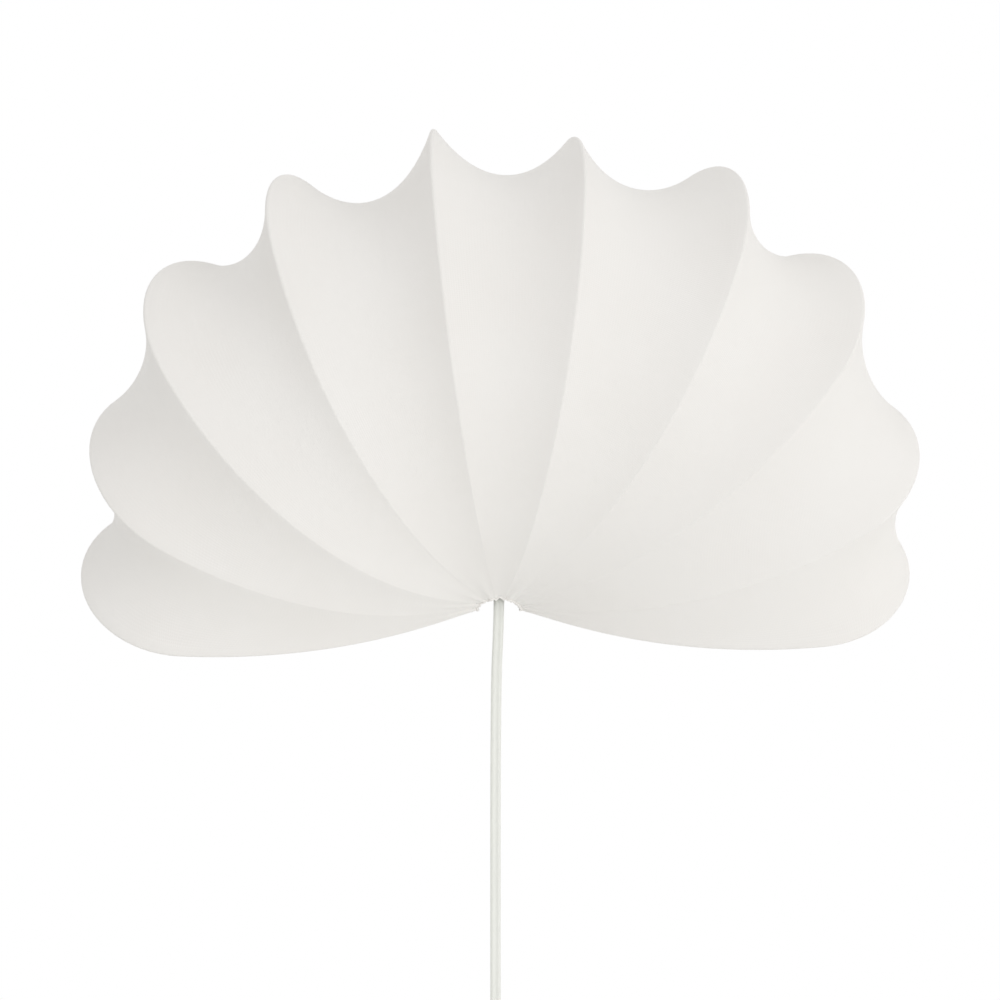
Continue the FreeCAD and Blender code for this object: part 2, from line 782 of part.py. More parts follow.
def rounded_block(name, width_name, length_name, depth_name, corner_name, to_room):
    """A moulded half: an upright rounded plate that leaves its joint face forwards or back."""
    body = doc.addObject("PartDesign::Body", name)
    sketch = body.newObject("Sketcher::SketchObject", name + "Outline")
    upright = next(f for f in body.Origin.OriginFeatures if f.Role == "XZ_Plane")
    sketch.AttachmentSupport = [(upright, "")]
    sketch.MapMode = "FlatFace"
    centred_rectangle(sketch, width_name, length_name)
    pad = body.newObject("PartDesign::Pad", name + "Pad")
    pad.Profile = sketch
    pad.setExpression("Length", words(depth_name))
    pad.Reversed = not to_room
    doc.recompute()
    upright_edges = enumerate(pad.Shape.Edges, start=1)
    corners = [f"Edge{i}" for i, e in upright_edges if abs(e.tangentAt(e.FirstParameter).y) > 0.99]
    fillet = body.newObject("PartDesign::Fillet", name + "Corners")
    fillet.Base = (pad, corners)
    fillet.setExpression("Radius", words(corner_name))
    return body


def centred_rectangle(sketch, width_name, height_name):
    """A rectangle about the sketch's origin, its two sizes bound to the sheet."""
    x = size[width_name] / 2
    y = size[height_name] / 2
    corners = [Vector(-x, -y, 0), Vector(x, -y, 0), Vector(x, y, 0), Vector(-x, y, 0)]
    for start, end in zip(corners, corners[1:] + corners[:1]):
        sketch.addGeometry(Part.LineSegment(start, end), False)
    for side in range(4):
        sketch.addConstraint(Sketcher.Constraint("Coincident", side, 2, (side + 1) % 4, 1))
    for side in (0, 2):
        sketch.addConstraint(Sketcher.Constraint("Horizontal", side))
        sketch.addConstraint(Sketcher.Constraint("Vertical", side + 1))
    sketch.addConstraint(Sketcher.Constraint("Symmetric", 0, 1, 2, 1, -1, 1))
    width = sketch.addConstraint(Sketcher.Constraint("DistanceX", 0, 1, 0, 2, 2 * x))
    height = sketch.addConstraint(Sketcher.Constraint("DistanceY", 1, 1, 1, 2, 2 * y))
    sketch.setExpression(f"Constraints[{width}]", words(width_name))
    sketch.setExpression(f"Constraints[{height}]", words(height_name))


def bar(diameter, depth, x, z, y):
    """A round bar along Y in the switch's frame, from y towards the room."""
    return drilled(diameter, depth, x, z, y)


CHANNEL = "cord_diameter + 2 * hole_clearance"
SCREW_SPOTS = [
    ("switch_screw_side", "switch_screw_spacing / 2"),
    ("0 - switch_screw_side", "0 - switch_screw_spacing / 2"),
]
INNER_WIDTH = "switch_width - 2 * switch_wall"
SWITCH_SCREW_HOLE = "switch_screw_diameter + 2 * hole_clearance"
SWITCH_HEAD_HOLE = "switch_screw_head + 2 * hole_clearance"


def channel():
    """Where the cord runs in at both ends."""
    return cylinder(CHANNEL, "switch_length", "0 - switch_length / 2")


def cavity(depth, y):
    return block(
        INNER_WIDTH, depth, "switch_cavity", f"0 - ( {INNER_WIDTH} ) / 2", y, "0 - switch_cavity / 2"
    )


base_cuts = [channel(), cavity("switch_base_depth - switch_wall", "0")]
for x, z in SCREW_SPOTS:
    base_cuts.append(bar(SWITCH_SCREW_HOLE, "switch_base_depth", x, z, "switch_base_depth"))
    base_cuts.append(bar(SWITCH_HEAD_HOLE, "switch_screw_head_height", x, z, "switch_base_depth"))
base_body = rounded_block(
    "SwitchBase", "switch_width", "switch_length", "switch_base_depth", "switch_corner", to_room=False
)
named(placed(cut(base_body, *base_cuts), SWITCH_PLACE), "switch_base")

window = block(
    "window_width",
    "2 * switch_wall",
    "window_length",
    "0 - window_width / 2",
    "0 - switch_cover_depth - switch_wall / 2",
    "0 - window_length / 2",
)
cover_cavity = cavity("switch_cover_depth - switch_wall", "switch_wall - switch_cover_depth")
cover_cuts = [channel(), window, cover_cavity]
for x, z in SCREW_SPOTS:
    cover_cuts.append(bar(SWITCH_SCREW_HOLE, "switch_screw_bite", x, z, "0"))
cover_body = rounded_block(
    "SwitchCover", "switch_width", "switch_length", "switch_cover_depth", "switch_corner", to_room=True
)
named(placed(cut(cover_body, *cover_cuts), SWITCH_PLACE), "switch_cover")

PIN_Y = "rocker_pin_depth - switch_cover_depth"


def cross_bar(diameter, length):
    """A round bar along X, centred on the frame's origin."""
    return solid(
        "Cylinder",
        place_text(x=f"0 - ( {length} ) / 2", axis="0; 1; 0", angle="90"),
        Radius=f"( {diameter} ) / 2",
        Height=length,
    )


rocker_block = block(
    "rocker_width",
    "rocker_depth",
    "rocker_length",
    "0 - rocker_width / 2",
    "rocker_behind_pin - rocker_depth",
    "0 - rocker_length / 2",
)
rocker = cut(rocker_block, cross_bar("rocker_pin_diameter + 2 * pin_clearance", "2 * rocker_width"))
pin_place_y = f"{switch_middle.y} + {PIN_Y}"
rocker_place = place_text(
    str(switch_middle.x), pin_place_y, str(switch_middle.z), angle="0 - rocker_tilt"
)
named(placed(rocker, rocker_place), "switch_rocker")
pin_start = f"{switch_middle.x} - ( {INNER_WIDTH} ) / 2 + part_gap"
pin = solid(
    "Cylinder",
    place_text(pin_start, pin_place_y, str(switch_middle.z), "0; 1; 0", "90"),
    Radius="rocker_pin_diameter / 2",
    Height=f"{INNER_WIDTH} - 2 * part_gap",
)
named(pin, "rocker_pin")


def switch_screw(x, z):
    head_depth = "switch_screw_head_height"
    shank = bar("switch_screw_diameter", "switch_base_depth + switch_screw_bite", x, z, "switch_base_depth")
    return fuse(shank, bar("switch_screw_head", head_depth, x, z, "switch_base_depth"))


switch_screws = doc.addObject("Part::Compound", "Compound")
switch_screws.Links = [switch_screw(x, z) for x, z in SCREW_SPOTS]
named(placed(switch_screws, SWITCH_PLACE), "switch_screws")


def switch_contact(z):
    return block(
        "switch_contact_width",
        "switch_contact_height",
        "switch_contact_length",
        "0 - switch_contact_width / 2",
        "switch_base_depth - switch_wall - switch_contact_height",
        f"{z} - switch_contact_length / 2",
    )


contacts = doc.addObject("Part::Compound", "Compound")
CONTACT_SPOTS = ["switch_contact_spacing / 2", "0 - switch_contact_spacing / 2"]
contacts.Links = [switch_contact(z) for z in CONTACT_SPOTS]
named(placed(contacts, SWITCH_PLACE), "switch_contacts")

# --- Put-away cord: a neat coil held by a tie, hanging under the switch ----------------------

link_start = CORD_DROP[-1] + Vector(0, 0, 2 * size["switch_grip"] - size["switch_length"])
link_bend = link_start - Vector(0, 0, size["link_drop"])
RIGHT_DOWN = Vector(math.sqrt(0.5), 0, -math.sqrt(0.5))
RIGHT_UP = Vector(math.sqrt(0.5), 0, math.sqrt(0.5))
coil_start = link_bend + RIGHT_DOWN * size["coil_outer"]
coil_centre = coil_start - RIGHT_UP * size["coil_outer"]
coil_entry = coil_start - RIGHT_DOWN * size["cord_diameter"]
link_length = cord_tube("cord_link", [link_start, link_bend, coil_entry])

LAYER_BACK = Vector(0, size["coil_layer"], 0)


def coil_edges():
    """Half turns that spiral in on the front layer, climb, and spiral out on the back layer."""
    step = size["coil_pitch"] / 2
    half_turns = 2 * size["coil_turns"]
    inwards = [size["coil_outer"] - step * k for k in range(half_turns + 1)]
    outwards = [size["coil_restart"] + step * k for k in range(half_turns - 1)]
    stations = [(radius, 0) for radius in inwards]
    stations += [(size["coil_climb"], 1)]
    stations += [(radius, 1) for radius in outwards]
    places = []
    for k, (radius, layer) in enumerate(stations):
        signed = radius if k % 2 == 0 else -radius
        places.append(coil_centre + RIGHT_UP * signed + LAYER_BACK * layer)
    edges = [Part.makeLine(coil_entry, coil_start)]
    for start, end in zip(places, places[1:]):
        side = math.copysign((end - start).Length / 2, RIGHT_UP.dot(start - end))
        edges.append(Part.Arc(start, (start + end) / 2 + RIGHT_DOWN * side, end).toShape())
    pivot = places[-1] - RIGHT_UP * size["coil_exit_radius"]
    exit_points = [
        pivot + Vector(math.cos(a), 0, math.sin(a)) * size["coil_exit_radius"]
        for a in (math.pi / 4, math.pi / 8, 0)
    ]
    edges.append(Part.Arc(*exit_points).toShape())
    coil_end = exit_points[-1] - Vector(0, 0, size["cord_diameter"])
    edges.append(Part.makeLine(exit_points[-1], coil_end))
    return edges, coil_end


def least_gap(edges, diameter):
    """The least gap of a tube to itself, measured between points along its path."""
    points = []
    travelled = 0.0
    for edge in edges:
        count = max(2, int(edge.Length / 2))
        span = edge.LastParameter - edge.FirstParameter
        for k in range(count):
            at = edge.valueAt(edge.FirstParameter + span * k / count)
            points.append((travelled + edge.Length * k / count, at))
        travelled += edge.Length
    apart = 3 * diameter
    gaps = [
        (b - a).Length
        for i, (run_a, a) in enumerate(points)
        for run_b, b in points[i + 1:]
        if run_b - run_a > apart
    ]
    return min(gaps) - diameter


coil_path, coil_end = coil_edges()
coil_length = sum(edge.Length for edge in coil_path)
coil_shape = tube(coil_path, size["cord_diameter"])
coil_volume = math.pi * size["cord_diameter"] ** 2 / 4 * coil_length
print("cord_coil length", round(coil_length, 1))
print("cord_coil volume over section times length", round(coil_shape.Volume / coil_volume, 4))
print("cord_coil least gap to itself", round(least_gap(coil_path, size["cord_diameter"]), 2))
feature("cord_coil", coil_shape)

TIE_PLACE = place_text(str(coil_centre.x), str(coil_centre.y), str(coil_centre.z))


def tie_block(grow):
    """The space of the bundle at the top of the coil, grown by a wall on every side."""
    depth = f"coil_layer + cord_diameter + 2 * tie_gap + 2 * ( {grow} )"
    height = f"tie_outer - tie_inner + 2 * ( {grow} )"
    low_y = f"0 - cord_diameter / 2 - tie_gap - ( {grow} )"
    return block("tie_width", depth, height, "0 - tie_width / 2", low_y, f"tie_inner - ( {grow} )")


named(placed(cut(tie_block("tie_thickness"), tie_block("0")), TIE_PLACE), "cord_tie")

tail_end = coil_end - Vector(0, 0, size["tail_length"])
tail_length = cord_tube("cord_tail", [coil_end, tail_end])

# --- Plug: its own frame is at the middle of the body ---------------------------------------

plug_middle = tail_end - Vector(0, 0, size["plug_relief"] + size["plug_length"] / 2)
PLUG_PLACE = place_text(str(plug_middle.x), str(plug_middle.y), str(plug_middle.z))


def blade(x):
    """A flat contact blade; its root sits inside the plug's body."""
    return block(
        "blade_thickness",
        "blade_width",
        "blade_length + blade_root",
        f"{x} - blade_thickness / 2",
        "0 - blade_width / 2",
        "0 - plug_length / 2 - blade_length",
    )


BLADES = ["blade_spacing / 2", "0 - blade_spacing / 2"]
plug_half = rounded_block(
    "PlugBody", "plug_width", "plug_length", "plug_depth", "plug_corner", to_room=True
)
plug_half.setExpression("Placement", place_text(y="plug_depth / 2"))
plug_relief = cone("plug_width / 2", "relief_tip", "plug_relief", "plug_length / 2")
plug_body = cut(fuse(plug_half, plug_relief), *[blade(x) for x in BLADES])
named(placed(plug_body, PLUG_PLACE), "plug_body")
blades = doc.addObject("Part::Compound", "Compound")
blades.Links = [blade(x) for x in BLADES]
named(placed(blades, PLUG_PLACE), "plug_blades")

inside_switch = size["switch_length"] - 2 * size["switch_grip"]
total_length = drop_length + inside_switch + link_length + coil_length + tail_length
print("cord from strain relief to plug", round(total_length))

# --- Check and write ----------------------------------------------------------------------

doc.recompute()
for obj in doc.Objects:
    if "Invalid" in obj.State or "Error" in obj.State:
        raise RuntimeError(f"{obj.Name} ({obj.Label}) failed to build")
for obj in subparts:
    if obj.Shape.isNull() or not obj.Shape.isValid():
        raise RuntimeError(f"{obj.Label} has no sound solid")

os.makedirs("parts", exist_ok=True)
for obj in subparts:
    obj.Shape.exportStep(f"parts/{obj.Label}.step")
print(len(subparts), "sub-parts written")
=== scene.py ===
"""Shell wall sconce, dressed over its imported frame.

Metres, +Z up, +X to the right. The wall is the plane Y = 0 and the lamp stands at -Y.
"""

import math

import bmesh
import bpy
import numpy as np
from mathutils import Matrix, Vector


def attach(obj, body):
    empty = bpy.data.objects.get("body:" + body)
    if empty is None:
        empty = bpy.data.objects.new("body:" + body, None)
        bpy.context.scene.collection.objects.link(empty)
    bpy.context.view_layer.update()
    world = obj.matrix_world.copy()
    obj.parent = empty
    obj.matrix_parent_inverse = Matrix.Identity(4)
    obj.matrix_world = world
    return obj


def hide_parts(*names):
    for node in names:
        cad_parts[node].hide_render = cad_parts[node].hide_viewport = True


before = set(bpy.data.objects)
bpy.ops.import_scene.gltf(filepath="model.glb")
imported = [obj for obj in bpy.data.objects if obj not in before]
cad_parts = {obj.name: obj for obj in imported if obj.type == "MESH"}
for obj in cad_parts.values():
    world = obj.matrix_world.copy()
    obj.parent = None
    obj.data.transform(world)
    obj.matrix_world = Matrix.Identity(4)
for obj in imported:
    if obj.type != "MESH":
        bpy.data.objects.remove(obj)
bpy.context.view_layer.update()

# --- Wall plate and bracket ---------------------------------------------------------------
# A round steel plate with two keyholes, and a strap bent once that carries the lampholder.
# Both are stamped from sheet and powder coated white; zinc-plated pan-head screws join them.

MM = 0.001


def linear(code):
    """An sRGB hex colour as linear light: ((c + 0.055) / 1.055) ** 2.4, or c / 12.92 near black."""
    parts = np.array([int(code[i:i + 2], 16) for i in (1, 3, 5)]) / 255
    light = np.where(parts > 0.04045, ((parts + 0.055) / 1.055) ** 2.4, parts / 12.92)
    return (*light.tolist(), 1.0)


def add(tree, kind, settings=None, **inputs):
    """Adds a shader node, sets its settings, and fills or links its inputs.

    An input goes by its name, with _ for a space, or by n0, n1 and so on where names repeat.
    """
    made = tree.nodes.new("ShaderNode" + kind)
    for key, value in (settings or {}).items():
        setattr(made, key, value)
    for key, value in inputs.items():
        key = key.replace("_", " ")
        socket = made.inputs[int(key[1:])] if key[0] == "n" and key[1:].isdigit() else made.inputs[key]
        if isinstance(value, bpy.types.NodeSocket):
            tree.links.new(value, socket)
        else:
            socket.default_value = value
    return made


DRIFT_GRAINS = 40
ROUGHNESS_DRIFT = 0.06
GRAIN_STRENGTH = 0.35


def finish(name, low, high, grain, bump, roughness, metallic=0.0):
    """A surface with a fine grain, whose colour drifts from low to high over DRIFT_GRAINS grains.

    grain is the size of one grain and bump its height, in metres. The roughness goes
    ROUGHNESS_DRIFT up and down with the grain.
    """
    surface = bpy.data.materials.new(name)
    surface.use_nodes = True
    tree = surface.node_tree
    shader = tree.nodes["Principled BSDF"]
    place = add(tree, "TexCoord").outputs["Object"]
    fine = add(tree, "TexNoise", Vector=place, Scale=1 / grain, Detail=3.0)
    broad = add(tree, "TexNoise", Vector=place, Scale=1 / (DRIFT_GRAINS * grain), Detail=2.0)
    blend = add(tree, "Mix", {"data_type": "RGBA"}, Factor=broad.outputs["Fac"])
    blend.inputs["A"].default_value = linear(low)
    blend.inputs["B"].default_value = linear(high)
    tree.links.new(blend.outputs["Result"], shader.inputs["Base Color"])
    least, most = roughness - ROUGHNESS_DRIFT, roughness + ROUGHNESS_DRIFT
    spread = add(tree, "MapRange", Value=fine.outputs["Fac"], To_Min=least, To_Max=most)
    tree.links.new(spread.outputs["Result"], shader.inputs["Roughness"])
    height = add(tree, "Bump", Height=fine.outputs["Fac"], Strength=GRAIN_STRENGTH, Distance=bump)
    tree.links.new(height.outputs["Normal"], shader.inputs["Normal"])
    shader.inputs["Metallic"].default_value = metallic
    return surface


def dress(surface, *nodes):
    """Gives carried-over nodes a finish."""
    for node in nodes:
        piece = bpy.data.objects[node]
        piece.data.materials.clear()
        piece.data.materials.append(surface)


# Powder coat: a satin skin with the faint orange peel of melted powder, about 1.2 mm across.
powder_coat = finish("powder coated steel", "#E6E5E1", "#ECEBE8", 1.2 * MM, 0.03 * MM, 0.42)
dress(powder_coat, "wall_plate", "holder_bracket")
# Zinc plate: a grey-blue metal, a little dull from the tumbling barrel.
zinc_plate = finish("zinc plated steel", "#B4B8BC", "#C6C8CA", 0.6 * MM, 0.01 * MM, 0.34, 1.0)
dress(zinc_plate, "bracket_screws", "nipple_nut", "nipple", "rocker_pin", "switch_screws")

# --- Fan frame ----------------------------------------------------------------------------
# Ten hoops of 2.5 mm steel wire stand in planes through one axis, like the ribs of a shell.
# Each is bent in one piece and welded to a ring at the nose, then the frame is dipped white.

# Dipped wire: a smooth, slightly pooled white coat.
dipped_wire = finish("white dipped wire", "#E4E3DF", "#EDECEA", 2.0 * MM, 0.02 * MM, 0.38)
dress(dipped_wire, *[f"hoop_{n}" for n in range(1, 11)], "nose_ring")

FAN_TILT = math.radians(45)
FAN_AXIS = np.array([0, -math.cos(FAN_TILT), -math.sin(FAN_TILT)])
# The wires end NOSE_RIM from the axis, NOSE_DISTANCE out along it, and their middle line
# stands BACK_GAP off the wall behind.
NOSE_DISTANCE = 50 * MM
NOSE_RIM = 20 * MM
WIRE_RADIUS = 1.25 * MM
BACK_GAP = 5.35 * MM
# Left to right: degrees from upright, then in mm the reach from the origin, the radius of the
# rounded end and the radius of the front bow.
HOOPS = [
    (-80, 263, 62, 395),
    (-59, 266, 74, 242),
    (-40.2, 280, 76, 195),
    (-24, 280, 68, 195),
    (-7.2, 277, 61, 192),
    (7.6, 272, 66, 192),
    (23.7, 285, 71, 230),
    (40, 284, 72, 250),
    (60.8, 270, 67, 266),
    (79, 256, 60, 353),
]
# The cloth's rows lie on the front bow, on the rounded end, or on the return behind it.
ON_BOW, ON_CAP, ON_RETURN = 0, 1, 2
# The way an arc's radius points where the rounded end meets the wall.
WALL_END = -math.pi / 2
# The cloth goes HEM_OVERHANG past the wire's end, and stands off there to clear the ring.
HEM_OVERHANG = 5.5 * MM
NOSE_LIFT = 1.4 * MM
NOSE_LIFT_REACH = 12 * MM
HEM_RETURN = 14 * MM


def hoop_line(degrees, reach, cap, bow, rows):
    """The line of one hoop's fabric rows, with the outward and sideways directions.

    In the hoop's plane, u runs along the wall and n away from it. The front bow is an arc of
    radius bow from the nose that meets, tangent, an arc of radius cap that comes back to the
    wall. rows gives, for each row, which of the three it lies on and a share of the way along.
    At a distance d from the nose hem the line stands NOSE_LIFT exp(-d / NOSE_LIFT_REACH)
    farther out.
    """
    angle = math.radians(degrees)
    along = np.array([math.sin(angle), 0, math.cos(angle)])
    out = FAN_AXIS - along * (FAN_AXIS @ along)
    out /= np.linalg.norm(out)
    side = np.cross(along, out)
    wall_n = BACK_GAP / -out[1]
    spread = along - FAN_AXIS * (along @ FAN_AXIS)
    nose = FAN_AXIS * NOSE_DISTANCE + spread / np.linalg.norm(spread) * NOSE_RIM
    nose = np.array([nose @ along, nose @ out])
    middle = np.array([reach - cap, wall_n + cap])
    step = middle - nose
    gap = np.hypot(*step)
    share = (bow ** 2 - (bow - cap) ** 2 + gap ** 2) / (2 * gap)
    below = math.sqrt(bow ** 2 - share ** 2)
    centre = nose + (share * step + below * np.array([step[1], -step[0]])) / gap
    start = math.atan2(*(nose - centre)[::-1]) % (2 * math.pi) + HEM_OVERHANG / bow
    join = math.atan2(*(middle - centre)[::-1]) % (2 * math.pi)
    kind, part = rows
    turn = np.where(kind == ON_BOW, start + (join - start) * part, join + (WALL_END - join) * part)
    turn = np.where(kind == ON_RETURN, WALL_END, turn)
    hub = np.where(kind[:, None] == ON_BOW, centre, middle)
    lift = NOSE_LIFT * np.exp(-bow * np.abs(turn - start) / NOSE_LIFT_REACH)
    radius = np.where(kind == ON_BOW, bow + lift, cap)[:, None]
    face = np.stack([np.cos(turn), np.sin(turn)], axis=1)
    flat = hub + face * radius
    flat[:, 0] -= np.where(kind == ON_RETURN, part, 0) * HEM_RETURN
    normal = face[:, :1] * along + face[:, 1:] * out
    return flat[:, :1] * along + flat[:, 1:] * out, normal, side


# --- Fabric cover -------------------------------------------------------------------------
# White knitted jersey, cut and sewn like a bonnet and stretched over the fan: taut between
# the hoops, drawn in at the tips, with an elastic hem at the nose and one behind the hoops.

CLOTH = 0.5 * MM
CREST = WIRE_RADIUS + 0.3 * MM
# How much harder each panel, left to right, is pulled lengthwise than across.
LENGTHWISE_PULLS = [1.5, 0.8, 2.6, 3.1, 3.0, 2.2, 2.3, 0.8, 0.9]
# How much cloth, by its width, each hem's elastic pulls as hard as.
NOSE_HEM_PULL = 24 * MM
BACK_HEM_PULL = 170 * MM
BOW_ROWS, CAP_ROWS, RETURN_ROWS = 46, 34, 5
ROW_CROWDING = 1.4
ACROSS = 21
row_kind = np.repeat([ON_BOW, ON_CAP, ON_RETURN], [BOW_ROWS, CAP_ROWS, RETURN_ROWS])
row_part = np.concatenate(
    [
        np.linspace(0, 1, BOW_ROWS, endpoint=False) ** ROW_CROWDING,
        np.linspace(0, 1, CAP_ROWS, endpoint=False),
        np.linspace(0, 1, RETURN_ROWS),
    ]
)
ROWS = len(row_kind)


def stretched(left, right, pull_ratio):
    """A skin pulled tight between two lines of points: each free point is at rest.

    The pull along a thread is its length times a fixed share, so the places of all free
    points solve one linear set: the sum of share times (neighbour - point) is nought.
    Lengthwise threads pull pull_ratio times as hard as the ones across, and the two
    free edges have a cord in them, the elastic of the hem.
    """
    share = np.linspace(0, 1, ACROSS)[None, :, None]
    start = left[:, None] * (1 - share) + right[:, None] * share
    width = np.linalg.norm(right - left, axis=1) / (ACROSS - 1)
    run = np.linalg.norm(np.diff(start, axis=0), axis=2)
    tall = np.zeros(ROWS)
    tall[:-1] += run.mean(axis=1) / 2
    tall[1:] += run.mean(axis=1) / 2
    across = tall / width
    across[0] += NOSE_HEM_PULL / width[0]
    across[-1] += BACK_HEM_PULL / width[-1]
    lengthwise = pull_ratio * (width[:-1] + width[1:])[:, None] / 2 / run
    number = np.arange(ROWS * ACROSS).reshape(ROWS, ACROSS)
    links = [
        (number[:, :-1], number[:, 1:], np.repeat(across[:, None], ACROSS - 1, axis=1)),
        (number[:-1], number[1:], lengthwise),
    ]
    matrix = np.zeros((ROWS * ACROSS, ROWS * ACROSS))
    for a, b, pull in links:
        a, b, pull = a.ravel(), b.ravel(), pull.ravel()
        np.add.at(matrix, (a, b), -pull)
        np.add.at(matrix, (b, a), -pull)
        np.add.at(matrix, (a, a), pull)
        np.add.at(matrix, (b, b), pull)
    free = number[:, 1:-1].ravel()
    held = np.concatenate([number[:, 0], number[:, -1]])
    places = start.reshape(-1, 3).copy()
    known = matrix[np.ix_(free, held)] @ places[held]
    places[free] = np.linalg.solve(matrix[np.ix_(free, free)], -known)
    return places.reshape(ROWS, ACROSS, 3)


LEAVE_LEAST, LEAVE_MOST = math.radians(4), math.radians(70)
# The skin and the angles where it leaves the wires depend on each other: the angles start at
# FIRST_LEAVE radians and are found again after each trial.
FIRST_LEAVE = 0.2
LEAVE_TRIALS = 2


def leave_angle(skin_edge, skin_next, normal, side):
    """How far round the wire the cloth stays before it leaves it, in the wire's cross-section."""
    away = skin_next - skin_edge
    drop = -(away * normal).sum(axis=1)
    return np.clip(np.arctan2(drop, np.abs(away @ side)), LEAVE_LEAST, LEAVE_MOST)


def wrapped(line, normal, side, turn):
    """Points on the cloth where it lies on the wire, turned from straight out to one side."""
    return line + CREST * (np.cos(turn)[:, None] * normal + np.sin(turn)[:, None] * side)


lines = [hoop_line(a, r * MM, c * MM, b * MM, (row_kind, row_part)) for a, r, c, b in HOOPS]
leave = [[np.full(ROWS, FIRST_LEAVE), np.full(ROWS, FIRST_LEAVE)] for _ in lines]
for _ in range(LEAVE_TRIALS):
    skins = []
    for k in range(len(lines) - 1):
        (line_a, out_a, side_a), (line_b, out_b, side_b) = lines[k], lines[k + 1]
        skin = stretched(
            wrapped(line_a, out_a, side_a, leave[k][1]),
            wrapped(line_b, out_b, side_b, -leave[k + 1][0]),
            LENGTHWISE_PULLS[k],
        )
        leave[k][1] = leave_angle(skin[:, 0], skin[:, 1], out_a, side_a)
        leave[k + 1][0] = leave_angle(skin[:, -1], skin[:, -2], out_b, side_b)
        skins.append(skin)

GATHER_DEPTH = 0.8 * MM
GATHER_REACH = 22 * MM
# How many waves the gathers make across each panel, left to right.
GATHERS = [1.5, 1.5, 1, 1, 0, 1, 1, 1.5, 1.5]
SCALLOP = 1.5 * MM
SCALLOP_REACH = 14 * MM


def gathered(skin, waves):
    """The small gathers and the scalloped edge that the elastic draws at the nose.

    With d the distance from the hem and s the share of the way across, each point moves down
    the panel by SCALLOP exp(-d / SCALLOP_REACH) sin(pi s), and out along its normal by
    GATHER_DEPTH exp(-d / GATHER_REACH) sin(pi s) cos(2 pi waves s).
    """
    down = np.gradient(skin, axis=0)
    down /= np.linalg.norm(down, axis=2)[..., None]
    out = np.cross(down, np.gradient(skin, axis=1))
    out /= np.linalg.norm(out, axis=2)[..., None]
    steps = np.linalg.norm(np.diff(skin[:, ACROSS // 2], axis=0), axis=1)
    distance = np.concatenate([[0], np.cumsum(steps)])[:, None, None]
    share = np.linspace(0, 1, ACROSS)[None, :, None]
    arch = np.sin(math.pi * share)
    scallop = SCALLOP * np.exp(-distance / SCALLOP_REACH) * arch
    gather = GATHER_DEPTH * np.exp(-distance / GATHER_REACH) * arch * np.cos(2 * math.pi * waves * share)
    return skin + scallop * down + gather * out


skins = [gathered(skin, waves) for skin, waves in zip(skins, GATHERS)]
# Where the hem under a lowest hoop starts and ends, as shares of the hoop's own ends.
HEM_NOSE = 0.85
HEM_FOOT = np.array([0.25, 1, 0.25])
HEM_BOW = 0.44


def end_skin(line, normal, side, sign):
    """The cloth that turns under a lowest hoop and lies in its plane, out to a slightly bowed hem.

    Each row runs straight from the wire to the same share t of the hem, and the hem is
    (1 - t) nose + t foot + HEM_BOW t (1 - t) (middle of the hoop - middle of the hem).
    """
    under = wrapped(line, normal, side, np.full(ROWS, sign * math.pi / 2))
    nose, foot = under[0] * HEM_NOSE, under[-1] * HEM_FOOT
    share = np.linspace(0, 1, ROWS)[:, None]
    hem = nose * (1 - share) + foot * share
    lift = under[ROWS // 2] - (nose + foot) / 2
    hem = hem + HEM_BOW * share * (1 - share) * lift
    across = np.linspace(0, 1, ACROSS)[None, :, None]
    return under[:, None] * (1 - across) + hem[:, None] * across


CREST_STEPS = 5
strips = []
for k, (line, out, side) in enumerate(lines):
    low, high = -leave[k][0], leave[k][1]
    if k == 0:
        low = np.full(ROWS, -math.pi / 2)
    if k == len(lines) - 1:
        high = np.full(ROWS, math.pi / 2)
    turns = [low + (high - low) * share for share in np.linspace(0, 1, CREST_STEPS)]
    strips.append(np.stack([wrapped(line, out, side, turn) for turn in turns], axis=1))
    if k < len(skins):
        strips.append(skins[k][:, 1:-1])
left_end = end_skin(*lines[0], -1)[:, 1:][:, ::-1]
right_end = end_skin(*lines[-1], 1)[:, 1:]
grid = np.concatenate([left_end, *strips, right_end], axis=1)


def grid_mesh(name, points, closed=False):
    """A sheet of four-cornered faces over a grid of points, with a UV map in metres.

    U is the distance travelled across a row and V the distance down a column.
    """
    rows, cols = points.shape[:2]
    number = np.arange(rows * cols).reshape(rows, cols)
    if closed:
        number = np.concatenate([number, number[:, :1]], axis=1)
    a, b, c, d = number[:-1, :-1], number[:-1, 1:], number[1:, 1:], number[1:, :-1]
    faces = np.stack([a, b, c, d], axis=-1).reshape(-1, 4)
    data = bpy.data.meshes.new(name)
    data.from_pydata(points.reshape(-1, 3).tolist(), [], faces.tolist())
    across = np.linalg.norm(np.diff(points, axis=1), axis=2).mean(axis=0)
    down = np.linalg.norm(np.diff(points, axis=0), axis=2).mean(axis=1)
    if closed:
        across = np.append(across, across.mean())
    u = np.concatenate([[0], np.cumsum(across)])
    v = np.concatenate([[0], np.cumsum(down)])
    shape = a.shape
    corners_u = [u[:-1], u[1:], u[1:], u[:-1]]
    corners_v = [v[:-1], v[:-1], v[1:], v[1:]]
    uv = np.stack(
        [
            np.stack([np.broadcast_to(x[None, :], shape) for x in corners_u], axis=-1),
            np.stack([np.broadcast_to(x[:, None], shape) for x in corners_v], axis=-1),
        ],
        axis=-1,
    )
    layer = data.uv_layers.new(name="UVMap")
    layer.data.foreach_set("uv", uv.ravel())
    data.polygons.foreach_set("use_smooth", [True] * len(data.polygons))
    data.validate()
    piece = bpy.data.objects.new(name, data)
    bpy.context.scene.collection.objects.link(piece)
    return piece


cover = grid_mesh("shell_cover", grid)
thick = cover.modifiers.new("cloth", "SOLIDIFY")
thick.thickness = CLOTH
thick.offset = -1

